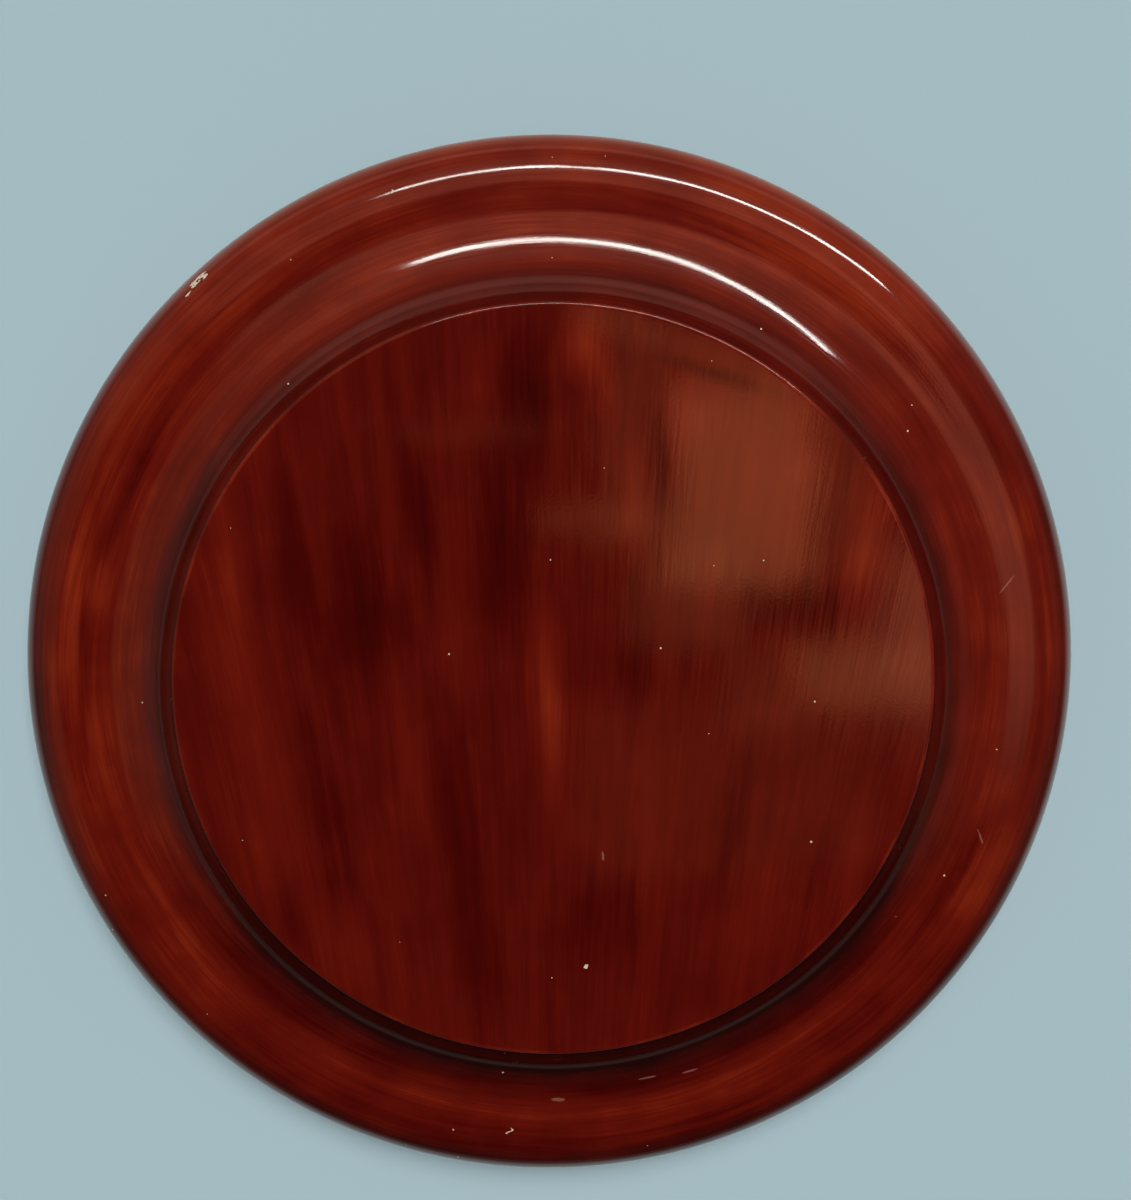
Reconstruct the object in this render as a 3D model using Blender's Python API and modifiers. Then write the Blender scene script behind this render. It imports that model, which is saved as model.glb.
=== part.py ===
"""Round display stand: a turned hardwood base with a raised flat centre.

The blank is five boards glued edge to edge and turned as one. It stands on four felt pads.
Units are metres, +Z is up, and the origin is under the centre, on the surface it stands on.
"""
import math

import bmesh
import bpy

# Driving dimensions
OUTER_RADIUS = 0.150        # widest circle of the turned edge
RIM_HEIGHT = 0.018          # thickness of the wood under the flat of the rim
CENTRE_HEIGHT = 0.035       # thickness of the wood under the raised centre
EDGE_ROUND = 0.0155         # radius of the rounded outer edge
COVE_START_RADIUS = 0.1285  # where the flat of the rim turns up into the cove
COVE_ROUND = 0.030          # radius of the hollow between rim and centre
ARRIS_ROUND = 0.0011        # softened corner around the raised centre
FOOT_ROUND = 0.0015         # softened corner around the underside
BOARD_COUNT = 5             # boards across the width, the grain running along Y
GLUE_GAP = 0.0003           # glue line between two boards, and between pad and wood
PAD_RADIUS = 0.010
PAD_THICKNESS = 0.0022
PAD_CIRCLE_RADIUS = 0.112   # the pads sit on this circle, on the diagonals
TURNED_SEGMENTS = 96
PAD_SEGMENTS = 32

BOARD_NAMES = (
    "board_left_outer",
    "board_left_inner",
    "board_centre",
    "board_right_inner",
    "board_right_outer",
)
PAD_NAMES = (
    "felt_pad_back_right",
    "felt_pad_back_left",
    "felt_pad_front_left",
    "felt_pad_front_right",
)
# Stain takes a little differently on each board.
BOARD_COLOURS = (
    (0.115, 0.012, 0.006),
    (0.095, 0.009, 0.005),
    (0.075, 0.007, 0.004),
    (0.090, 0.010, 0.005),
    (0.110, 0.013, 0.006),
)
FELT_COLOUR = (0.030, 0.022, 0.018)

WOOD_BOTTOM = PAD_THICKNESS + GLUE_GAP


def clear_scene():
    """Remove every object of the open file."""
    for thing in list(bpy.data.objects):
        bpy.data.objects.remove(thing, do_unlink=True)


def new_collection(name):
    """Make a collection in the scene."""
    collection = bpy.data.collections.new(name)
    bpy.context.scene.collection.children.link(collection)
    return collection


def principled(name, colour, roughness, coat=0.0):
    """Make a plain Principled material."""
    material = bpy.data.materials.new(name)
    material.use_nodes = True
    shader = material.node_tree.nodes["Principled BSDF"]
    shader.inputs["Base Color"].default_value = (*colour, 1.0)
    shader.inputs["Roughness"].default_value = roughness
    shader.inputs["Metallic"].default_value = 0.0
    shader.inputs["Coat Weight"].default_value = coat
    return material


def arc(centre, radius, first, last, steps):
    """Points on a circle in the (radius, height) plane, angles in degrees from +X."""
    points = []
    for step in range(steps + 1):
        angle = math.radians(first + (last - first) * step / steps)
        points.append((centre[0] + radius * math.cos(angle), centre[1] + radius * math.sin(angle)))
    return points


def turned_profile():
    """The section of the blank, from the top of the axis down its outer side to the bottom."""
    rim = WOOD_BOTTOM + RIM_HEIGHT
    top = WOOD_BOTTOM + CENTRE_HEIGHT
    cove_centre = (COVE_START_RADIUS, rim + COVE_ROUND)
    # The arris touches both the flat centre and the cove, so its centre is known from their radii.
    arris_height = top - ARRIS_ROUND
    drop = cove_centre[1] - arris_height
    reach = math.sqrt((COVE_ROUND + ARRIS_ROUND) ** 2 - drop ** 2)
    arris_centre = (COVE_START_RADIUS - reach, arris_height)
    meeting = math.degrees(math.atan2(drop, reach))
    edge_centre = (OUTER_RADIUS - EDGE_ROUND, rim - EDGE_ROUND)
    foot_centre = (OUTER_RADIUS - FOOT_ROUND, WOOD_BOTTOM + FOOT_ROUND)
    profile = [(0.0, top)]
    profile += arc(arris_centre, ARRIS_ROUND, 90.0, meeting, 4)
    profile += arc(cove_centre, COVE_ROUND, 180.0 + meeting, 270.0, 10)[1:]
    profile += arc(edge_centre, EDGE_ROUND, 90.0, 0.0, 9)
    profile += arc(foot_centre, FOOT_ROUND, 0.0, -90.0, 3)
    profile.append((0.0, WOOD_BOTTOM))
    return profile


def turned_blank(name, collection):
    """The whole turned disc, as a profile with a Screw modifier."""
    mesh = bpy.data.meshes.new(name)
    shape = bmesh.new()
    points = [shape.verts.new((radius, 0.0, height)) for radius, height in turned_profile()]
    for upper, lower in zip(points, points[1:]):
        shape.edges.new((upper, lower))
    shape.to_mesh(mesh)
    shape.free()
    blank = bpy.data.objects.new(name, mesh)
    collection.objects.link(blank)
    screw = blank.modifiers.new("Turned", "SCREW")
    screw.steps = TURNED_SEGMENTS
    screw.render_steps = TURNED_SEGMENTS
    screw.use_merge_vertices = True
    screw.merge_threshold = 0.00001
    return blank


def make_board(index, guides, parts):
    """One board: the turned shape, kept where it lies inside the board's own box."""
    name = BOARD_NAMES[index]
    width = 2.0 * OUTER_RADIUS / BOARD_COUNT
    left = -OUTER_RADIUS + index * width
    outer_margin = 0.010
    low = left - outer_margin if index == 0 else left + GLUE_GAP / 2.0
    high = left + width + outer_margin if index == BOARD_COUNT - 1 else left + width - GLUE_GAP / 2.0

    mesh = bpy.data.meshes.new(name + "_stock")
    shape = bmesh.new()
    bmesh.ops.create_cube(shape, size=1.0)
    size = (high - low, 2.0 * (OUTER_RADIUS + outer_margin), 2.0 * CENTRE_HEIGHT)
    bmesh.ops.scale(shape, vec=size, verts=shape.verts)
    shape.to_mesh(mesh)
    shape.free()
    stock = bpy.data.objects.new(name + "_stock", mesh)
    stock.location = ((low + high) / 2.0, 0.0, WOOD_BOTTOM + CENTRE_HEIGHT / 2.0)
    stock.hide_render = True
    stock.display_type = "WIRE"
    guides.objects.link(stock)

    board = turned_blank(name, parts)
    cut = board.modifiers.new("Board", "BOOLEAN")
    cut.operation = "INTERSECT"
    cut.solver = "EXACT"
    cut.object = stock
    board.data.materials.append(principled(name + "_finish", BOARD_COLOURS[index], 0.28, coat=0.6))
    return board


def make_pad(index, parts):
    """One self-adhesive felt pad under the base."""
    name = PAD_NAMES[index]
    mesh = bpy.data.meshes.new(name)
    shape = bmesh.new()
    bmesh.ops.create_cone(
        shape,
        cap_ends=True,
        segments=PAD_SEGMENTS,
        radius1=PAD_RADIUS,
        radius2=PAD_RADIUS,
        depth=PAD_THICKNESS,
    )
    shape.to_mesh(mesh)
    shape.free()
    mesh.shade_smooth()
    mesh.set_sharp_from_angle(angle=math.radians(40.0))
    pad = bpy.data.objects.new(name, mesh)
    angle = math.radians(45.0 + 90.0 * index)
    pad.location = (
        PAD_CIRCLE_RADIUS * math.cos(angle),
        PAD_CIRCLE_RADIUS * math.sin(angle),
        PAD_THICKNESS / 2.0,
    )
    pad.data.materials.append(principled(name + "_felt", FELT_COLOUR, 0.95))
    parts.objects.link(pad)
    return pad


def main():
    clear_scene()
    parts = new_collection("display_stand")
    guides = new_collection("guides")
    stand = bpy.data.objects.new("display_stand_origin", None)
    parts.objects.link(stand)
    for index in range(BOARD_COUNT):
        make_board(index, guides, parts).parent = stand
    for index in range(len(PAD_NAMES)):
        make_pad(index, parts).parent = stand


main()
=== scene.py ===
"""The looks of the round display stand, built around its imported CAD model.

Five stained and lacquered boards and four felt pads each replace their CAD solid.
Units are metres, +Z is up, and everything is in the CAD model's own frame.
"""
import math

import bmesh
import bpy
from mathutils import Matrix, Vector, noise


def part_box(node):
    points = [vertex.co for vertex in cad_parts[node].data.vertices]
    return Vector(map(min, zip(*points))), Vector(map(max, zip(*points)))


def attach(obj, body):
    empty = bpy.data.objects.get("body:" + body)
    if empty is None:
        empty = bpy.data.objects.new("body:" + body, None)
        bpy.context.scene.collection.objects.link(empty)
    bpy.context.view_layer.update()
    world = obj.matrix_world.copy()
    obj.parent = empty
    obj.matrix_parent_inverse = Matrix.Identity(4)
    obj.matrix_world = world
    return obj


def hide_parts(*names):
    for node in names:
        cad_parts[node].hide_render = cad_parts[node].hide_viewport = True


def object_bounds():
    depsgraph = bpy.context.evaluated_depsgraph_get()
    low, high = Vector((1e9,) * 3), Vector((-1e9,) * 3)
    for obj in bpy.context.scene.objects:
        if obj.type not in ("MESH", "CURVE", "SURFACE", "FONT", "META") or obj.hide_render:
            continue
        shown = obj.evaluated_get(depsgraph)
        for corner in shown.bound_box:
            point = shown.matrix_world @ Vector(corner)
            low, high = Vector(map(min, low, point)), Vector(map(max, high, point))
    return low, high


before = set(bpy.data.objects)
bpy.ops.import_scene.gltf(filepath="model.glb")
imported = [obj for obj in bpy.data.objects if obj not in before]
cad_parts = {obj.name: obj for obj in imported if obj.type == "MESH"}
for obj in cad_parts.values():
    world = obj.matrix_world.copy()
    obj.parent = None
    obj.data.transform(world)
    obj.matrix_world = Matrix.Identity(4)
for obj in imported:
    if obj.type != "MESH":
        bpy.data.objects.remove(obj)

cad_low, cad_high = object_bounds()

# ---------------------------------------------------------------------------
# Sizes. Those that the frame gives are read from it, the mouldings' own radii are named here.
OUTER_RADIUS = (cad_high.x - cad_low.x) / 2.0
WOOD_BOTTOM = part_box("board_centre")[0].z
WOOD_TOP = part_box("board_centre")[1].z
RIM_HEIGHT = 0.018
EDGE_ROUND = 0.0155
COVE_START_RADIUS = 0.1285
COVE_ROUND = 0.030
ARRIS_ROUND = 0.0011
FOOT_ROUND = 0.0015
FLAT_INSET = 0.0004         # a flat's last ring stands this far inside the rounding that follows it
UNEVENNESS = 0.00004        # how far hand sanding leaves the turned surface from true
UNEVEN_LENGTH = 0.022       # typical length of one such hollow

# How finely the turned shape is divided, round the axis and along each part of its section.
TURNED_SEGMENTS = 360
FLAT_STEPS = 14
ARRIS_STEPS = 8
COVE_STEPS = 26
RIM_STEPS = 3
EDGE_STEPS = 26
FOOT_STEPS = 6

BOARDS = (
    "board_left_outer",
    "board_left_inner",
    "board_centre",
    "board_right_inner",
    "board_right_outer",
)
PADS = (
    "felt_pad_back_right",
    "felt_pad_back_left",
    "felt_pad_front_left",
    "felt_pad_front_right",
)

BOARD_WIDTH = 2.0 * OUTER_RADIUS / len(BOARDS)


# ---------------------------------------------------------------------------
# Node materials
class Nodes:
    """A node tree, with short calls for the nodes that the finishes and the studio need."""

    def __init__(self, tree):
        self.tree = tree

    def put(self, socket, value):
        """Link a socket to a socket, or set it to a plain value."""
        if isinstance(value, bpy.types.NodeSocket):
            self.tree.links.new(value, socket)
        else:
            socket.default_value = value

    def math(self, operation, first, second=0.0, third=0.0):
        node = self.tree.nodes.new("ShaderNodeMath")
        node.operation = operation
        for socket, value in zip(node.inputs, (first, second, third)):
            self.put(socket, value)
        return node.outputs[0]

    def position(self):
        """The place on the object, split into X, Y and Z."""
        coordinates = self.tree.nodes.new("ShaderNodeTexCoord")
        split = self.tree.nodes.new("ShaderNodeSeparateXYZ")
        self.put(split.inputs[0], coordinates.outputs["Object"])
        return split.outputs

    def vector(self, x, y, z):
        node = self.tree.nodes.new("ShaderNodeCombineXYZ")
        for socket, value in zip(node.inputs, (x, y, z)):
            self.put(socket, value)
        return node.outputs[0]

    def noise(self, vector, scale=1.0, detail=3.0, roughness=0.5, distortion=0.0):
        node = self.tree.nodes.new("ShaderNodeTexNoise")
        self.put(node.inputs["Vector"], vector)
        node.inputs["Scale"].default_value = scale
        node.inputs["Detail"].default_value = detail
        node.inputs["Roughness"].default_value = roughness
        node.inputs["Distortion"].default_value = distortion
        return node.outputs["Fac"]

    def smooth(self, value, low, high, start=0.0, end=1.0):
        """A smooth step from start to end while value goes from low to high."""
        node = self.tree.nodes.new("ShaderNodeMapRange")
        node.interpolation_type = "SMOOTHSTEP"
        for socket, given in zip(node.inputs, (value, low, high, start, end)):
            self.put(socket, given)
        return node.outputs[0]

    def mix(self, factor, first, second):
        """Mix two colours."""
        node = self.tree.nodes.new("ShaderNodeMix")
        node.data_type = "RGBA"
        self.put(node.inputs[0], factor)
        self.put(node.inputs[6], first)
        self.put(node.inputs[7], second)
        return node.outputs[2]

    def ramp(self, value, stops):
        """A colour ramp through (position, colour) stops."""
        node = self.tree.nodes.new("ShaderNodeValToRGB")
        self.put(node.inputs[0], value)
        elements = node.color_ramp.elements
        while len(elements) < len(stops):
            elements.new(1.0)
        for element, (place, tint) in zip(elements, stops):
            element.position = place
            element.color = (*tint, 1.0)
        return node.outputs[0]

    def bump(self, height, distance, below=None):
        """Relief of the given height in metres, on top of any relief below it."""
        node = self.tree.nodes.new("ShaderNodeBump")
        node.inputs["Strength"].default_value = 1.0
        node.inputs["Distance"].default_value = distance
        self.put(node.inputs["Height"], height)
        if below is not None:
            self.put(node.inputs["Normal"], below)
        return node.outputs[0]


def start_material(name):
    """A new material's nodes, with its surface shader."""
    material = bpy.data.materials.new(name)
    material.use_nodes = True
    nodes = Nodes(material.node_tree)
    nodes.material = material
    nodes.shader = material.node_tree.nodes["Principled BSDF"]
    return nodes


def radius_and_direction(nodes, x, y):
    """Distance from the axis, and the unit direction away from it."""
    square = nodes.math("ADD", nodes.math("MULTIPLY", x, x), nodes.math("MULTIPLY", y, y))
    radius = nodes.math("SQRT", square)
    above_zero = nodes.math("MAXIMUM", radius, 0.001)
    return radius, nodes.math("DIVIDE", x, above_zero), nodes.math("DIVIDE", y, above_zero)


NOISE_RANGE = (0.3, 0.7)    # where most values of a noise pattern lie
FAN_DISTANCE = 0.45         # the strokes on the centre fan out from a point this far in front of it
RIM_MIDDLE = 0.130          # the radius at which strokes round the rim have their full length
RIM_STROKE_WIDTH = 0.6      # of strokes round the rim, as a share of the width on the centre
WANDER = 0.006              # how far the finer streaks push the long strokes sideways
# Streaks of stain that the brush left: width, length, and how many finer octaves they carry.
BROAD_STREAKS = (0.0110, 0.080, 2.0)
NARROW_STREAKS = (0.0032, 0.045, 2.0)
HAIR_STREAKS = (0.0008, 0.022, 3.0)
STREAK_DETAIL_STRENGTH = 0.55
BLOTCHES_PER_METRE = 55.0
GRIT_PER_METRE = 1300.0
# Between which distances from the axis each zone of the finish and of its painted shade fades in, or, for
# an END, fades out.
RIM_ZONE = (0.1005, 0.1030)
COVE_ZONE = (0.1010, 0.1025)
STEEP_COVE_END = (0.1080, 0.1145)
FRONT_COVE_END = (0.1150, 0.1290)
FRONT_RIM_ZONE = (0.1230, 0.1370)
OUTER_EDGE_ZONE = (0.1385, 0.1440)
ARRIS_ZONE = (0.1004, 0.1009)
ARRIS_END = (0.1013, 0.1018)
SHADED_SIDE = (0.14, -0.99)   # the direction towards which the painted shade darkens the cove, the rim and the outer edge
SHADED_SIDE_FADE = (0.1, 0.9)     # this far round to it, as a cosine, the zones of painted shade at the front fade in
# where the painted shade on the outer edge gives way to painted light at the back
BACK_EDGE_FADE = (0.2, 0.9)
# The tone of the stain runs from 0, nearly black, to 1, orange. These are the even tone on the centre, how
# much more the rim has, and what each zone adds to it: painted shade in the cove, on the outer edge and on
# the rim towards the front, painted light on the back of the outer edge, and wear on the arris.
CENTRE_TONE = 0.34
RIM_TONE = 0.11
STEEP_COVE_SHADE = -0.22
STEEP_FRONT_SHADE = -0.14
FRONT_COVE_SHADE = -0.26
OUTER_EDGE_SHADE = -0.14
BACK_EDGE_LIGHT = 0.03
FRONT_EDGE_SHADE = -0.04
FRONT_RIM_SHADE = -0.12
WORN_ARRIS_TONE = 0.16
WORN_PATCHES = (0.40, 0.65) # where the blotches pass these values, the arris is worn
# Gloss and relief of the lacquer over the stain.
LACQUER_IOR = 1.5
LACQUER_ROUGHNESS = (0.05, 0.12)
BARE_ROUGHNESS = 0.6
GRIT_RELIEF = 0.0000050
HAIR_RELIEF = 0.0000050
NARROW_RELIEF = 0.0000140
# Colours of the stain by its tone, from its darkest, which the painted shade also reaches, to where it is
# thin.
STAIN_AND_SHADE = (
    (0.05, (0.018, 0.0004, 0.0003)),
    (0.25, (0.060, 0.0018, 0.0010)),
    (0.45, (0.120, 0.0062, 0.0024)),
    (0.65, (0.210, 0.0185, 0.0050)),
    (0.90, (0.330, 0.0500, 0.0100)),
)
RUBBED_STAIN = (0.42, 0.20, 0.15, 1.0)
BARE_WOOD = (0.62, 0.50, 0.38, 1.0)
# Long strokes that the brush left on the raised centre: middle in millimetres, turn from the grain
# in degrees, half width and half length in millimetres, and how much lighter (below zero, darker) they are.
CENTRE_STROKES = (
    (-37, 50, 9, 6, 42, -0.12),
    (-24, -50, 8, 8, 60, -0.16),
    (-8, 78, 2, 8, 24, -0.22),
    (-14, 40, 2, 11, 44, -0.20),
    (-70, 36, 5, 7, 34, -0.14),
    (-52, 30, 5, 9, 40, -0.10),
    (-62, -30, 11, 7, 36, -0.10),
    (20, 8, 0, 8, 28, -0.12),
    (46, -42, -9, 7, 30, -0.08),
    (27, 64, 0, 4, 22, -0.12),
    (10, -66, 0, 16, 24, -0.12),
    (-86, 34, 4, 7, 40, 0.16),
    (-84, -10, 9, 9, 40, 0.12),
    (-75, -18, 8, 5, 40, 0.10),
    (-40, -20, 6, 6, 26, 0.08),
    (-2, -4, 1, 6, 34, 0.26),
    (-20, 80, 0, 6, 16, 0.08),
    (8, 91, 0, 9, 13, 0.26),
    (13, 79, 3, 5, 14, 0.16),
    (20, 54, 4, 7, 24, 0.16),
    (36, 74, 0, 14, 22, 0.14),
    (24, -28, -3, 5, 30, 0.12),
    (80, -44, -8, 6, 22, 0.14),
    (-56, -72, 14, 9, 20, 0.10),
    (52, -60, -8, 12, 26, 0.08),
    (57, 60, 0, 22, 34, 0.13),
    (42, 83, 73, 3, 19, -0.20),
    (62, 22, 0, 15, 11, -0.14),
    (-52, 20, 4, 16, 28, -0.13),
    (-80, -42, 12, 8, 22, 0.12),
    (82, 36, -6, 9, 26, 0.22),
)
# Strokes round the rim: degrees clockwise from the back, radius, half width and half length in
# millimetres, and how much lighter they are.
RIM_STROKES = (
    (280, 134, 4, 34, 0.20),
    (268, 144, 4, 46, -0.12),
    (32, 135, 12, 44, 0.24),
    (262, 130, 4, 34, 0.08),
    (272, 130, 2, 40, -0.16),
    (228, 138, 7, 34, 0.12),
    (306, 137, 7, 36, 0.08),
    (116, 135, 6, 24, 0.20),
    (120, 126, 6, 30, -0.12),
    (296, 127, 4, 32, -0.18),
    (240, 127, 3, 24, 0.10),
    (318, 132, 4, 30, 0.12),
    (330, 126, 4, 24, -0.10),
    (84, 141, 4, 26, 0.12),
    (145, 137, 7, 26, 0.10),
    (206, 140, 4, 24, 0.10),
    (160, 131, 4, 24, 0.08),
    (60, 133, 6, 26, -0.10),
    (95, 130, 5, 22, -0.10),
)
# Chips through the finish and dull rubs in it: middle, turn, half width and half length, as above.
CHIPS = (
    (-97.0, 109.5, -41, 1.2, 5.0),
    (-95.0, 110.5, -20, 1.0, 2.4),
    (-99.6, 105.4, -43, 0.7, 2.0),
    (-13.2, -132.4, -35, 0.45, 1.9),
    (8.6, -76.6, -25, 0.7, 1.2),
)
RUBS = (
    (0.8, -122.6, 86, 1.1, 3.6),
    (26.5, -115.9, 100, 0.6, 4.0),
    (38.7, -114.3, 106, 0.5, 3.4),
    (12.8, -45.8, 5, 0.6, 2.2),
    (126.0, 26.0, -38, 0.4, 5.5),
    (121.0, -46.0, 20, 0.5, 4.0),
)
RAGGED = 0.9                # how much a pattern breaks up the edge of a chip or a rub
BREAKS_THROUGH = (0.85, 0.95)
RUB_STRENGTH = 0.30         # how much of the rubbed colour shows
DUST_SPACING = 0.014
DUST_SHARE = 0.10           # of the places DUST_SPACING apart that hold a speck
DUST_RADIUS = 0.0001
DUST_RADIUS_SPREAD = 0.0002


def mark(nodes, place, middle_x, middle_y, turn, half_width, half_length):
    """How strongly one long mark covers a place: 1 in its middle, falling to 0 at its ends."""
    mapping = nodes.tree.nodes.new("ShaderNodeMapping")
    mapping.vector_type = "TEXTURE"
    nodes.put(mapping.inputs["Vector"], place)
    mapping.inputs["Location"].default_value = (middle_x / 1000.0, middle_y / 1000.0, 0.0)
    mapping.inputs["Rotation"].default_value = (0.0, 0.0, math.radians(turn))
    mapping.inputs["Scale"].default_value = (half_width / 1000.0, half_length / 1000.0, 1.0)
    cover = nodes.tree.nodes.new("ShaderNodeTexGradient")
    cover.gradient_type = "SPHERICAL"
    nodes.put(cover.inputs[0], mapping.outputs[0])
    return cover.outputs["Fac"]


def worn_away(nodes, place, spots, broken_edge):
    """Where a spot breaks through the finish: 1 inside, 0 outside, with a ragged edge."""
    worn = 0.0
    for spot in spots:
        worn = nodes.math("MAXIMUM", worn, mark(nodes, place, *spot))
    return nodes.smooth(nodes.math("MULTIPLY_ADD", broken_edge, RAGGED, worn), *BREAKS_THROUGH)


def dust(nodes, place):
    """A few specks of dust caught in the lacquer."""
    cells = nodes.tree.nodes.new("ShaderNodeTexVoronoi")
    cells.voronoi_dimensions = "2D"
    cells.inputs["Scale"].default_value = 1.0 / DUST_SPACING
    nodes.put(cells.inputs["Vector"], place)
    split = nodes.tree.nodes.new("ShaderNodeSeparateColor")
    nodes.put(split.inputs[0], cells.outputs["Color"])
    kept = nodes.math("GREATER_THAN", split.outputs[0], 1.0 - DUST_SHARE)
    radius = nodes.math("MULTIPLY_ADD", split.outputs[1], DUST_RADIUS_SPREAD, DUST_RADIUS)
    reach = nodes.math("DIVIDE", radius, DUST_SPACING)
    return nodes.math("MULTIPLY", kept, nodes.math("LESS_THAN", cells.outputs["Distance"], reach))


def brush_streaks(nodes, x, y, around, on_rim, width, length, detail):
    """Streaks along the grain on the centre, and round the axis on the rim."""
    radius, along_x, along_y = around
    fan = nodes.math("DIVIDE", nodes.math("MULTIPLY", x, FAN_DISTANCE), nodes.math("ADD", y, FAN_DISTANCE))
    straight = nodes.noise(
        nodes.vector(nodes.math("DIVIDE", fan, width), nodes.math("DIVIDE", y, length), 0.0),
        detail=detail, roughness=STREAK_DETAIL_STRENGTH)
    turns = RIM_MIDDLE / length
    round_the_rim = nodes.noise(
        nodes.vector(nodes.math("MULTIPLY", along_x, turns), nodes.math("MULTIPLY", along_y, turns),
                     nodes.math("DIVIDE", radius, RIM_STROKE_WIDTH * width)),
        detail=detail, roughness=STREAK_DETAIL_STRENGTH)
    return nodes.math("MULTIPLY_ADD", on_rim, nodes.math("SUBTRACT", round_the_rim, straight), straight)


def long_strokes(nodes, place, tone):
    """The tone with the long strokes on the centre and round the rim laid over it."""
    for *shape, strength in CENTRE_STROKES:
        tone = nodes.math("MULTIPLY_ADD", mark(nodes, place, *shape), strength, tone)
    for clock, reach, half_width, half_length, strength in RIM_STROKES:
        angle = math.radians(clock)
        shape = (reach * math.sin(angle), reach * math.cos(angle), 90 - clock, half_width, half_length)
        tone = nodes.math("MULTIPLY_ADD", mark(nodes, place, *shape), strength, tone)
    return tone


def painted_shade_and_worn_arris(nodes, around, blotch, tone):
    """The tone with painted shade in the cove, on the outer edge and on the rim towards the front, painted
    light on the back of the outer edge, and where handling has thinned the stain along the arris.
    """
    radius, along_x, along_y = around
    shaded_side_x, shaded_side_y = SHADED_SIDE
    shaded_side_cosine = nodes.math("MULTIPLY_ADD", along_x, shaded_side_x, nodes.math("MULTIPLY", along_y, shaded_side_y))
    towards_shaded_side = nodes.smooth(shaded_side_cosine, *SHADED_SIDE_FADE)
    in_cove = nodes.smooth(radius, *COVE_ZONE)
    # Painted shade in the steep part of the cove, and in its whole width at the front.
    steep = nodes.math("MULTIPLY", in_cove, nodes.smooth(radius, *STEEP_COVE_END, 1.0, 0.0))
    front_cove_shade_mask = nodes.math("MULTIPLY", in_cove, nodes.smooth(radius, *FRONT_COVE_END, 1.0, 0.0))
    front_cove_shade_mask = nodes.math("MULTIPLY", front_cove_shade_mask, towards_shaded_side)
    steep_shade_amount = nodes.math("MULTIPLY_ADD", towards_shaded_side, STEEP_FRONT_SHADE, STEEP_COVE_SHADE)
    tone = nodes.math("MULTIPLY_ADD", steep, steep_shade_amount, tone)
    tone = nodes.math("MULTIPLY_ADD", front_cove_shade_mask, FRONT_COVE_SHADE, tone)
    # Painted shade on the outer edge, except at the back where it is painted a little lighter, and painted
    # shade on the rim at the front.
    edge_light_and_shade = nodes.smooth(along_y, *BACK_EDGE_FADE, OUTER_EDGE_SHADE, BACK_EDGE_LIGHT)
    edge_light_and_shade = nodes.math("MULTIPLY_ADD", towards_shaded_side, FRONT_EDGE_SHADE, edge_light_and_shade)
    tone = nodes.math("MULTIPLY_ADD", nodes.smooth(radius, *OUTER_EDGE_ZONE), edge_light_and_shade, tone)
    front_rim_shade_mask = nodes.math("MULTIPLY", towards_shaded_side, nodes.smooth(radius, *FRONT_RIM_ZONE))
    tone = nodes.math("MULTIPLY_ADD", front_rim_shade_mask, FRONT_RIM_SHADE, tone)
    # Along the arris, where it has worn thin in patches.
    arris_start = nodes.smooth(radius, *ARRIS_ZONE)
    arris = nodes.math("MULTIPLY", arris_start, nodes.smooth(radius, *ARRIS_END, 1.0, 0.0))
    worn_arris = nodes.math("MULTIPLY", arris, nodes.smooth(blotch, *WORN_PATCHES))
    return nodes.math("MULTIPLY_ADD", worn_arris, WORN_ARRIS_TONE, tone)


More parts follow.
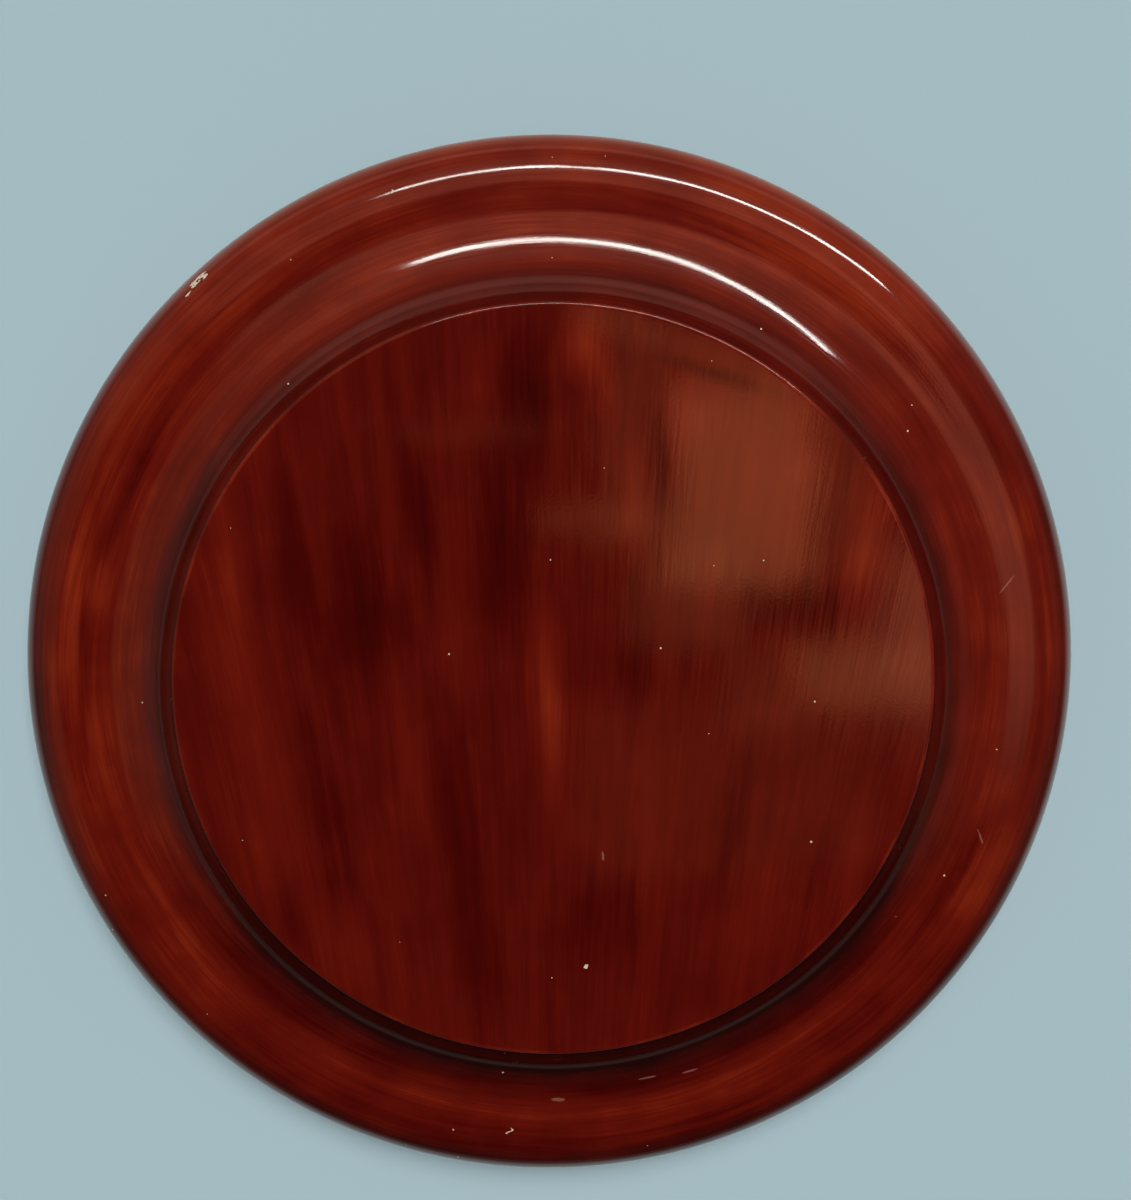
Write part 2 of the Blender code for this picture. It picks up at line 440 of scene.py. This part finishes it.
def stained_lacquer():
    """Dark red stain, brushed along the grain on the centre and round the rim, with painted shade in the
    cove and towards the front, under gloss lacquer.
    """
    nodes = start_material("stained_lacquer")
    x, y, _ = nodes.position()
    flat_place = nodes.vector(x, y, 0.0)
    around = radius_and_direction(nodes, x, y)
    on_rim = nodes.smooth(around[0], *RIM_ZONE)
    broad, narrow, hair = [
        brush_streaks(nodes, x, y, around, on_rim, *streaks)
        for streaks in (BROAD_STREAKS, NARROW_STREAKS, HAIR_STREAKS)
    ]
    blotch = nodes.noise(flat_place, scale=BLOTCHES_PER_METRE, detail=3.0)
    grit = nodes.noise(flat_place, scale=GRIT_PER_METRE, detail=2.0)
    wander = nodes.math("MULTIPLY", nodes.math("SUBTRACT", narrow, 0.5), WANDER)
    place = nodes.vector(nodes.math("ADD", x, wander), y, 0.0)

    tone = nodes.math("MULTIPLY_ADD", on_rim, RIM_TONE, CENTRE_TONE)
    # Each pattern, how much it varies the tone on the centre, and how much more it does on the rim.
    hair_amount = nodes.smooth(blotch, 0.35, 0.70, 0.04, 0.20)
    variations = (
        (broad, 0.22, 0.03),
        (narrow, 0.15, 0.07),
        (hair, hair_amount, 0.10),
        (blotch, 0.16, 0.14),
    )
    for pattern, on_centre, more_on_rim in variations:
        amount = nodes.math("MULTIPLY_ADD", on_rim, more_on_rim, on_centre)
        tone = nodes.math("MULTIPLY_ADD", nodes.math("SUBTRACT", pattern, 0.5), amount, tone)
    tone = long_strokes(nodes, place, tone)
    tone = painted_shade_and_worn_arris(nodes, around, blotch, tone)

    # The tone turned into colour: the stain, with its painted shade and painted light.
    stain = nodes.ramp(tone, STAIN_AND_SHADE)
    rubbed = nodes.math("MULTIPLY", worn_away(nodes, flat_place, RUBS, hair), RUB_STRENGTH)
    stain = nodes.mix(rubbed, stain, RUBBED_STAIN)
    bare = nodes.math("MAXIMUM", worn_away(nodes, place, CHIPS, grit), dust(nodes, flat_place))
    stain = nodes.mix(bare, stain, BARE_WOOD)
    nodes.put(nodes.shader.inputs["Base Color"], stain)
    gloss = nodes.smooth(hair, *NOISE_RANGE, *LACQUER_ROUGHNESS)
    roughness = nodes.math("MAXIMUM", gloss, nodes.math("MULTIPLY", bare, BARE_ROUGHNESS))
    nodes.put(nodes.shader.inputs["Roughness"], roughness)
    nodes.shader.inputs["IOR"].default_value = LACQUER_IOR
    relief = nodes.bump(grit, GRIT_RELIEF)
    relief = nodes.bump(hair, HAIR_RELIEF, relief)
    relief = nodes.bump(narrow, NARROW_RELIEF, relief)
    nodes.put(nodes.shader.inputs["Normal"], relief)
    return nodes.material


# The underside: grain across and along the boards, and the rings that the turning tool left.
GRAIN_ACROSS = 220.0        # per metre
GRAIN_ALONG = 9.0
GRAIN_SHIFT = 7.3           # sets each board's grain apart from its neighbours'
RING_SPACING = 0.0024
GRAIN_RELIEF = 0.00008
RING_RELIEF = 0.00004
THIN_STAIN = (
    (0.30, (0.045, 0.012, 0.006)),
    (0.50, (0.090, 0.026, 0.012)),
    (0.70, (0.150, 0.050, 0.022)),
)
UNDERSIDE_ROUGHNESS = (0.55, 0.42)
RING_STAIN = (0.040, 0.011, 0.006, 1.0)
RING_BAND = (0.52, 0.66)    # where the ring pattern passes these values, a ring shows
RING_STRENGTH = 0.45
GLUE_LINE = (0.016, 0.006, 0.003, 1.0)
GLUE_LINE_EDGES = (0.0002, 0.0006)


def underside_wood():
    """Thin stain on sanded wood, with the turner's faint rings and the glue lines."""
    nodes = start_material("underside_wood")
    x, y, _ = nodes.position()
    radius, _, _ = radius_and_direction(nodes, x, y)
    across = nodes.math("DIVIDE", nodes.math("ADD", x, OUTER_RADIUS), BOARD_WIDTH)
    board = nodes.math("FLOOR", across)
    along_the_grain = nodes.vector(nodes.math("MULTIPLY", x, GRAIN_ACROSS),
                                   nodes.math("MULTIPLY", y, GRAIN_ALONG),
                                   nodes.math("MULTIPLY", board, GRAIN_SHIFT))
    grain = nodes.noise(along_the_grain, detail=5.0, roughness=0.6, distortion=0.4)
    wood = nodes.ramp(grain, THIN_STAIN)
    rings = nodes.noise(nodes.vector(nodes.math("DIVIDE", radius, RING_SPACING), 0.0, 0.0), detail=1.0)
    wood = nodes.mix(nodes.smooth(rings, *RING_BAND, 0.0, RING_STRENGTH), wood, RING_STAIN)
    share = nodes.math("FRACT", across)
    nearer_side = nodes.math("MINIMUM", share, nodes.math("SUBTRACT", 1.0, share))
    to_edge = nodes.math("MULTIPLY", nearer_side, BOARD_WIDTH)
    wood = nodes.mix(nodes.smooth(to_edge, *GLUE_LINE_EDGES, 1.0, 0.0), wood, GLUE_LINE)
    nodes.put(nodes.shader.inputs["Base Color"], wood)
    nodes.put(nodes.shader.inputs["Roughness"], nodes.smooth(grain, *NOISE_RANGE, *UNDERSIDE_ROUGHNESS))
    relief = nodes.bump(rings, RING_RELIEF, nodes.bump(grain, GRAIN_RELIEF))
    nodes.put(nodes.shader.inputs["Normal"], relief)
    return nodes.material


FIBRES_PER_METRE = 2600.0
FIBRE_RELIEF = 0.0003
WOOL = (
    (0.3, (0.010, 0.008, 0.007)),
    (0.7, (0.060, 0.046, 0.038)),
)


def felt():
    """Pressed wool felt."""
    nodes = start_material("felt")
    coordinates = nodes.tree.nodes.new("ShaderNodeTexCoord").outputs["Object"]
    fibre = nodes.noise(coordinates, scale=FIBRES_PER_METRE, detail=4.0, roughness=0.7, distortion=1.5)
    wool = nodes.ramp(fibre, WOOL)
    nodes.put(nodes.shader.inputs["Base Color"], wool)
    nodes.shader.inputs["Roughness"].default_value = 0.95
    nodes.shader.inputs["Sheen Weight"].default_value = 0.4
    nodes.put(nodes.shader.inputs["Normal"], nodes.bump(fibre, FIBRE_RELIEF))
    return nodes.material


# ---------------------------------------------------------------------------
# The turned disc
def arc(centre, radius, first, last, steps):
    """Points on a circle in the (radius, height) plane, angles in degrees from +X."""
    points = []
    for step in range(steps + 1):
        angle = math.radians(first + (last - first) * step / steps)
        points.append((centre[0] + radius * math.cos(angle), centre[1] + radius * math.sin(angle)))
    return points


def flat(first, last, height, steps):
    """Points along a flat, first and last included."""
    return [(first + (last - first) * step / steps, height) for step in range(steps + 1)]


def turned_profile():
    """The section of the disc, from the top of the axis down its outer side to the bottom."""
    rim = WOOD_BOTTOM + RIM_HEIGHT
    arris_height = WOOD_TOP - ARRIS_ROUND
    drop = rim + COVE_ROUND - arris_height
    reach = math.sqrt((COVE_ROUND + ARRIS_ROUND) ** 2 - drop ** 2)
    arris_radius = COVE_START_RADIUS - reach
    meeting = math.degrees(math.atan2(drop, reach))
    edge_radius = OUTER_RADIUS - EDGE_ROUND
    foot_radius = OUTER_RADIUS - FOOT_ROUND
    cove_centre = (COVE_START_RADIUS, rim + COVE_ROUND)
    profile = flat(0.0, arris_radius - FLAT_INSET, WOOD_TOP, FLAT_STEPS)
    profile += arc((arris_radius, arris_height), ARRIS_ROUND, 90.0, meeting, ARRIS_STEPS)
    profile += arc(cove_centre, COVE_ROUND, 180.0 + meeting, 270.0, COVE_STEPS)[1:]
    profile += flat(COVE_START_RADIUS, edge_radius, rim, RIM_STEPS)[1:-1]
    profile += arc((edge_radius, rim - EDGE_ROUND), EDGE_ROUND, 90.0, 0.0, EDGE_STEPS)
    profile += arc((foot_radius, WOOD_BOTTOM + FOOT_ROUND), FOOT_ROUND, 0.0, -90.0, FOOT_STEPS)
    profile += flat(foot_radius - FLAT_INSET, 0.0, WOOD_BOTTOM, FLAT_STEPS)
    return profile


def turned_disc():
    """The whole disc as one fine mesh, each vertex carrying its own normal."""
    shape = bmesh.new()
    normal_layer = shape.verts.layers.float_vector.new("turned_normal")
    profile = turned_profile()
    rings = []
    for radius, height in profile:
        if radius < 1e-9:
            rings.append([shape.verts.new((0.0, 0.0, height))])
            continue
        ring = []
        for step in range(TURNED_SEGMENTS):
            angle = 2.0 * math.pi * step / TURNED_SEGMENTS
            ring.append(shape.verts.new((radius * math.cos(angle), radius * math.sin(angle), height)))
        rings.append(ring)
    for upper, lower in zip(rings, rings[1:]):
        for step in range(TURNED_SEGMENTS):
            following = (step + 1) % TURNED_SEGMENTS
            if len(upper) == 1:
                shape.faces.new((upper[0], lower[step], lower[following]))
            elif len(lower) == 1:
                shape.faces.new((upper[step], lower[0], upper[following]))
            else:
                shape.faces.new((upper[step], lower[step], lower[following], upper[following]))
    shape.normal_update()
    for vertex in shape.verts:
        if vertex.co.z > WOOD_BOTTOM + FOOT_ROUND:
            hollow = noise.noise(vertex.co / UNEVEN_LENGTH)
            vertex.co -= vertex.normal * UNEVENNESS * (0.5 + 0.5 * hollow)
    shape.normal_update()
    for vertex in shape.verts:
        vertex[normal_layer] = vertex.normal
    return shape


def board_edges(index):
    """Where the glue lines on the board's two sides run, or None at the outside."""
    low = None if index == 0 else -OUTER_RADIUS + index * BOARD_WIDTH
    high = None if index == len(BOARDS) - 1 else -OUTER_RADIUS + (index + 1) * BOARD_WIDTH
    return low, high


def cut_along(shape, place, side):
    """Keep the part of the disc on one side of a glue line, and close the sawn face."""
    everything = list(shape.verts) + list(shape.edges) + list(shape.faces)
    cut = bmesh.ops.bisect_plane(
        shape,
        geom=everything,
        dist=1e-7,
        plane_co=(place, 0.0, 0.0),
        plane_no=(side, 0.0, 0.0),
        clear_inner=True,
    )
    edges = [item for item in cut["geom_cut"] if isinstance(item, bmesh.types.BMEdge)]
    filled = bmesh.ops.holes_fill(shape, edges=edges, sides=0)
    for face in filled["faces"]:
        face.material_index = 1
        face.smooth = False


def make_board(index, disc, finishes):
    """One board of the disc. Its neighbours share its glue lines exactly."""
    shape = disc.copy()
    for face in shape.faces:
        face.smooth = True
        if face.calc_center_median().z < WOOD_BOTTOM + 1e-5:
            face.material_index = 1
    low, high = board_edges(index)
    if low is not None:
        cut_along(shape, low, 1.0)
    if high is not None:
        cut_along(shape, high, -1.0)
    shape.normal_update()
    normal_layer = shape.verts.layers.float_vector["turned_normal"]
    normals = []
    for face in shape.faces:
        for vertex in face.verts:
            normals.append(vertex[normal_layer].normalized() if face.smooth else face.normal.copy())
    name = "finished_" + BOARDS[index]
    mesh = bpy.data.meshes.new(name)
    shape.to_mesh(mesh)
    shape.free()
    mesh.normals_split_custom_set(normals)
    for finish in finishes:
        mesh.materials.append(finish)
    board = bpy.data.objects.new(name, mesh)
    bpy.context.scene.collection.objects.link(board)
    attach(board, "root")
    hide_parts(BOARDS[index])


# ---------------------------------------------------------------------------
# Felt pads
PAD_SEGMENTS = 72
PAD_FLAT_STEPS = 8
PAD_EDGE_STEPS = 4
PAD_SOFT_EDGE = 0.0005      # the cut edge of the felt is a little rounded
PAD_CLEARANCE = 0.00003     # between the felt and the wood
FELT_FUZZ = 0.00006         # how far the fibres stand out of true
FUZZ_LENGTH = 0.0011


def make_pad(node, finish):
    """One disc of felt, as its CAD solid lies, reaching up to the wood."""
    low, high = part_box(node)
    middle = (low + high) / 2.0
    radius = (high.x - low.x) / 2.0 - FELT_FUZZ
    top = WOOD_BOTTOM - PAD_CLEARANCE
    inner = radius - PAD_SOFT_EDGE
    profile = flat(0.0, inner, top, PAD_FLAT_STEPS)
    profile += arc((inner, top - PAD_SOFT_EDGE), PAD_SOFT_EDGE, 90.0, 0.0, PAD_EDGE_STEPS)[1:]
    profile += arc((inner, low.z + PAD_SOFT_EDGE), PAD_SOFT_EDGE, 0.0, -90.0, PAD_EDGE_STEPS)
    profile += flat(inner, 0.0, low.z, PAD_FLAT_STEPS)[1:]
    shape = bmesh.new()
    rings = []
    for ring_radius, height in profile:
        count = 1 if ring_radius < 1e-9 else PAD_SEGMENTS
        ring = []
        for step in range(count):
            angle = 2.0 * math.pi * step / PAD_SEGMENTS
            place = Vector((ring_radius * math.cos(angle), ring_radius * math.sin(angle), height))
            fuzz = FELT_FUZZ * noise.noise((place + middle) / FUZZ_LENGTH)
            outward = 1.0 + fuzz / radius
            corner = (middle.x + place.x * outward, middle.y + place.y * outward, height)
            ring.append(shape.verts.new(corner))
        rings.append(ring)
    for upper, lower in zip(rings, rings[1:]):
        for step in range(PAD_SEGMENTS):
            following = (step + 1) % PAD_SEGMENTS
            corners = [upper[step % len(upper)], lower[step % len(lower)],
                       lower[following % len(lower)], upper[following % len(upper)]]
            corners = list(dict.fromkeys(corners))
            shape.faces.new(corners).smooth = True
    name = "soft_" + node
    mesh = bpy.data.meshes.new(name)
    shape.to_mesh(mesh)
    shape.free()
    mesh.materials.append(finish)
    pad = bpy.data.objects.new(name, mesh)
    bpy.context.scene.collection.objects.link(pad)
    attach(pad, "root")
    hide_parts(node)


# ---------------------------------------------------------------------------
# Studio
FLOOR_SIZE = 40.0
CARD_HEIGHT = 1.037
CARD_TINT = (1.0, 0.32, 0.12)
# Cards overhead that the raised centre mirrors: name, middle, size, turn in degrees, and power.
CARDS = (
    ("large_card", (0.199, 0.020), (0.165, 0.215), -3, 0.240),
    ("streaky_card", (0.088, 0.060), (0.055, 0.20), 0, 0.026),
    ("left_card", (0.055, -0.010), (0.12, 0.045), 0, 0.018),
    ("fading_card", (0.150, -0.088), (0.135, 0.12), 0, 0.034),
    ("side_card", (0.368, -0.080), (0.065, 0.10), 0, 0.022),
    ("low_card", (0.333, -0.166), (0.165, 0.085), 0, 0.076),
    ("low_left_card", (0.228, -0.187), (0.10, 0.10), 0, 0.014),
    ("red_card", (0.300, 0.020), (0.10, 0.20), 0, 0.030),
    ("faint_card", (0.190, -0.280), (0.32, 0.20), 4, 0.040),
    ("back_card", (0.150, 0.158), (0.24, 0.045), -19, 0.048),
    ("thin_card", (-0.065, 0.074), (0.14, 0.016), 2, 0.005),
)
CARD_SPACING = 0.002        # each hangs a little higher than the one before, so none hides another
CARD_SOFT_EDGE = 0.022
CARD_EDGE_LIMIT = 0.4       # the soft edge takes up no more than this share of a card's short side
CARD_STREAK_WIDTH = 0.014
CARD_STREAK_LENGTH = 0.070
CARD_RAGGEDNESS = 3.4       # how far streaks break up a card's edge, in widths of its soft edge
TUBE_PLACE = (0.36, 1.267, 1.2)
TUBE_TARGET = (0.0, 0.0, 0.03)
TUBE_SIZE = (1.86, 0.11)
TUBE_DIRECTION = (2.02, 0.20, 0.0)
TUBE_POWER = 17.5
TUBE_TINT = (1.0, 0.97, 0.90)
SOFT_LIGHT_DIRECTION = (-0.12, -0.55, -1.0)
SOFT_LIGHT_STRENGTH = 3.0
SOFT_LIGHT_SPREAD = 40.0    # degrees
# The backdrop and the floor meet in one tone at the horizon.
FLOOR_TINTS = ((0.37, 0.50, 0.54, 1.0), (0.39, 0.52, 0.56, 1.0))
BACKDROP = (0.36, 0.49, 0.53, 1.0)
AMBIENT = (0.80, 0.92, 0.97, 1.0)
AMBIENT_STRENGTH = 0.14


def make_floor():
    """A plain pale floor, level with the underside of the pads."""
    nodes = start_material("pale_floor")
    x, y, _ = nodes.position()
    mottle = nodes.noise(nodes.vector(x, y, 0.0), scale=3.0, detail=2.0)
    nodes.put(nodes.shader.inputs["Base Color"], nodes.mix(mottle, *FLOOR_TINTS))
    nodes.shader.inputs["Roughness"].default_value = 0.9
    nodes.shader.inputs["Specular IOR Level"].default_value = 0.0
    shape = bmesh.new()
    bmesh.ops.create_grid(shape, x_segments=4, y_segments=4, size=FLOOR_SIZE / 2.0)
    mesh = bpy.data.meshes.new("studio_floor")
    shape.to_mesh(mesh)
    shape.free()
    mesh.materials.append(nodes.material)
    floor = bpy.data.objects.new("studio_floor", mesh)
    bpy.context.scene.collection.objects.link(floor)
    floor.visible_glossy = False


def area_light(name, place, target, size, power, tint, along):
    """A rectangular soft light at a place, facing a target, its long side along a direction."""
    light = bpy.data.lights.new(name, "AREA")
    light.shape = "RECTANGLE"
    light.size, light.size_y = size
    light.energy = power
    light.color = tint
    lamp = bpy.data.objects.new(name, light)
    bpy.context.scene.collection.objects.link(lamp)
    backward = (Vector(place) - Vector(target)).normalized()
    sideways = Vector(along)
    sideways = (sideways - backward * sideways.dot(backward)).normalized()
    upward = backward.cross(sideways)
    turn = Matrix((sideways, upward, backward)).transposed().to_4x4()
    lamp.matrix_world = Matrix.Translation(Vector(place)) @ turn
    return lamp


def make_card(number, name, middle, size, turn, power):
    """A dim card overhead, facing down, with uneven soft edges."""
    place = Vector((*middle, CARD_HEIGHT + number * CARD_SPACING))
    along = (math.cos(math.radians(turn)), math.sin(math.radians(turn)), 0.0)
    card = area_light(name, place, place - Vector((0.0, 0.0, 1.0)), size, power, CARD_TINT, along)
    card.data.use_nodes = True
    nodes = Nodes(card.data.node_tree)
    across = nodes.tree.nodes.new("ShaderNodeSeparateXYZ")
    nodes.put(across.inputs[0], nodes.tree.nodes.new("ShaderNodeNewGeometry").outputs["Parametric"])
    inset = 1.0
    for share, length in zip(across.outputs, size):
        for side in (share, nodes.math("SUBTRACT", 1.0, share)):
            inset = nodes.math("MINIMUM", inset, nodes.math("MULTIPLY", side, length))
    streaks = nodes.vector(nodes.math("MULTIPLY", across.outputs[0], size[0] / CARD_STREAK_WIDTH),
                           nodes.math("MULTIPLY", across.outputs[1], size[1] / CARD_STREAK_LENGTH),
                           float(number))
    uneven = nodes.math("SUBTRACT", nodes.noise(streaks, detail=3.0), 0.5)
    soft_edge = min(CARD_SOFT_EDGE, CARD_EDGE_LIMIT * min(size))
    inset = nodes.math("MULTIPLY_ADD", uneven, CARD_RAGGEDNESS * soft_edge, inset)
    nodes.put(nodes.tree.nodes["Emission"].inputs["Strength"], nodes.smooth(inset, 0.0, soft_edge))


def make_lights():
    """One long tube behind the stand for its highlights, a broad soft light, and dim cards overhead."""
    tube = area_light("long_tube", TUBE_PLACE, TUBE_TARGET, TUBE_SIZE, TUBE_POWER, TUBE_TINT,
                      TUBE_DIRECTION)
    tube.visible_diffuse = False
    light = bpy.data.lights.new("soft_light", "SUN")
    light.energy = SOFT_LIGHT_STRENGTH
    light.angle = math.radians(SOFT_LIGHT_SPREAD)
    soft = bpy.data.objects.new("soft_light", light)
    soft.rotation_euler = Vector(SOFT_LIGHT_DIRECTION).to_track_quat("-Z", "Y").to_euler()
    soft.visible_glossy = False
    bpy.context.scene.collection.objects.link(soft)
    for number, card in enumerate(CARDS):
        make_card(number, *card)


# What the lacquer mirrors on each side of the room, by degrees away from straight up.
BACK = (
    (0.0, (0.02, 0.01, 0.01)),
    (13.0, (0.02, 0.01, 0.01)),
    (17.0, (1.10, 0.38, 0.22)),
    (34.0, (0.75, 0.30, 0.17)),
    (48.0, (0.65, 0.27, 0.16)),
    (56.0, (0.85, 0.40, 0.27)),
    (66.0, (0.45, 0.17, 0.10)),
    (84.0, (0.35, 0.13, 0.08)),
    (88.0, (0.95, 0.40, 0.29)),
    (94.0, (0.95, 0.40, 0.29)),
    (98.0, (0.45, 0.18, 0.12)),
    (112.0, (0.60, 0.27, 0.18)),
    (125.0, (0.70, 0.36, 0.25)),
    (145.0, (0.50, 0.46, 0.42)),
)
RIGHT = (
    (0.0, (0.02, 0.01, 0.01)),
    (15.5, (0.02, 0.01, 0.01)),
    (17.0, (1.30, 0.45, 0.26)),
    (22.0, (1.30, 0.45, 0.26)),
    (26.0, (0.30, 0.11, 0.06)),
    (38.0, (0.14, 0.05, 0.03)),
    (62.0, (0.14, 0.05, 0.03)),
    (75.0, (0.22, 0.10, 0.07)),
    (90.0, (0.15, 0.06, 0.04)),
    (104.0, (0.16, 0.08, 0.06)),
    (108.0, (0.30, 0.28, 0.26)),
    (117.0, (0.50, 0.54, 0.54)),
    (150.0, (0.50, 0.60, 0.61)),
)
LEFT = (
    (0.0, (0.01, 0.005, 0.005)),
    (39.0, (0.02, 0.01, 0.01)),
    (45.0, (0.18, 0.13, 0.07)),
    (75.0, (0.20, 0.13, 0.08)),
    (84.0, (0.28, 0.15, 0.12)),
    (95.0, (0.26, 0.14, 0.11)),
    (102.0, (0.10, 0.08, 0.06)),
    (107.0, (0.20, 0.19, 0.18)),
    (117.0, (0.36, 0.38, 0.38)),
    (150.0, (0.42, 0.49, 0.50)),
)
FRONT = (
    (0.0, (0.01, 0.005, 0.005)),
    (60.0, (0.01, 0.008, 0.007)),
    (75.0, (0.03, 0.028, 0.024)),
    (95.5, (0.03, 0.026, 0.022)),
    (97.5, (0.18, 0.115, 0.090)),
    (101.0, (0.18, 0.115, 0.090)),
    (103.5, (0.06, 0.045, 0.040)),
    (106.0, (0.24, 0.24, 0.24)),
    (115.0, (0.36, 0.38, 0.39)),
    (150.0, (0.36, 0.42, 0.44)),
)
RIGHTWARD = (0.55, 0.83)    # the middle of the room's right side, which reaches round behind the stand
# How far round, as a cosine, each side of the room takes over from the one before.
FRONT_SIDE = (-0.3, -0.7)
RIGHT_SIDE = (-0.15, 0.15)
BACK_SIDE = (0.3, 1.0)


def make_world():
    """An even pale studio. The lacquer mirrors a warm dim room, lit behind the stand and on its right."""
    world = bpy.data.worlds.new("studio")
    world.use_nodes = True
    nodes = Nodes(world.node_tree)
    nodes.tree.nodes.clear()
    split = nodes.tree.nodes.new("ShaderNodeSeparateXYZ")
    nodes.put(split.inputs[0], nodes.tree.nodes.new("ShaderNodeTexCoord").outputs["Generated"])
    x, y, z = split.outputs
    from_up = nodes.math("DIVIDE", nodes.math("ARCCOSINE", z), math.pi)
    _, along_x, along_y = radius_and_direction(nodes, x, y)
    right_x, right_y = RIGHTWARD
    rightward = nodes.math("MULTIPLY_ADD", along_y, right_y, nodes.math("MULTIPLY", along_x, right_x))
    left, front, right, back = [
        nodes.ramp(from_up, [(degrees / 180.0, tint) for degrees, tint in stops])
        for stops in (LEFT, FRONT, RIGHT, BACK)
    ]
    room_tint = nodes.mix(nodes.smooth(along_y, *FRONT_SIDE), left, front)
    room_tint = nodes.mix(nodes.smooth(rightward, *RIGHT_SIDE), room_tint, right)
    room_tint = nodes.mix(nodes.smooth(along_y, *BACK_SIDE), room_tint, back)
    room = nodes.tree.nodes.new("ShaderNodeBackground")
    nodes.put(room.inputs[0], room_tint)
    pale = nodes.tree.nodes.new("ShaderNodeBackground")
    pale.inputs[0].default_value = AMBIENT
    pale.inputs[1].default_value = AMBIENT_STRENGTH
    backdrop = nodes.tree.nodes.new("ShaderNodeBackground")
    backdrop.inputs[0].default_value = BACKDROP
    path = nodes.tree.nodes.new("ShaderNodeLightPath")
    shown = pale.outputs[0]
    for kind, surroundings in (("Is Glossy Ray", room), ("Is Camera Ray", backdrop)):
        choose = nodes.tree.nodes.new("ShaderNodeMixShader")
        nodes.put(choose.inputs[0], path.outputs[kind])
        nodes.put(choose.inputs[1], shown)
        nodes.put(choose.inputs[2], surroundings.outputs[0])
        shown = choose.outputs[0]
    output = nodes.tree.nodes.new("ShaderNodeOutputWorld")
    nodes.put(output.inputs[0], shown)
    bpy.context.scene.world = world


CAMERA_LENS = 42.0          # millimetres
CAMERA_PLACE = (-0.0063, 0.0657, 0.4054)
CAMERA_TILT = (-6.47, -1.39, 0.0)       # degrees from looking straight down


def make_camera():
    """Look down on the stand from a little behind its middle."""
    camera = bpy.data.cameras.new("camera")
    camera.lens = CAMERA_LENS
    camera.clip_start = 0.01
    viewer = bpy.data.objects.new("camera", camera)
    bpy.context.scene.collection.objects.link(viewer)
    viewer.location = CAMERA_PLACE
    viewer.rotation_euler = [math.radians(angle) for angle in CAMERA_TILT]
    bpy.context.scene.camera = viewer


# ---------------------------------------------------------------------------
disc = turned_disc()
board_finishes = (stained_lacquer(), underside_wood())
for number in range(len(BOARDS)):
    make_board(number, disc, board_finishes)
disc.free()
felt_finish = felt()
for pad_node in PADS:
    make_pad(pad_node, felt_finish)
make_floor()
make_lights()
make_world()
make_camera()
bpy.context.scene.view_settings.view_transform = "Standard"
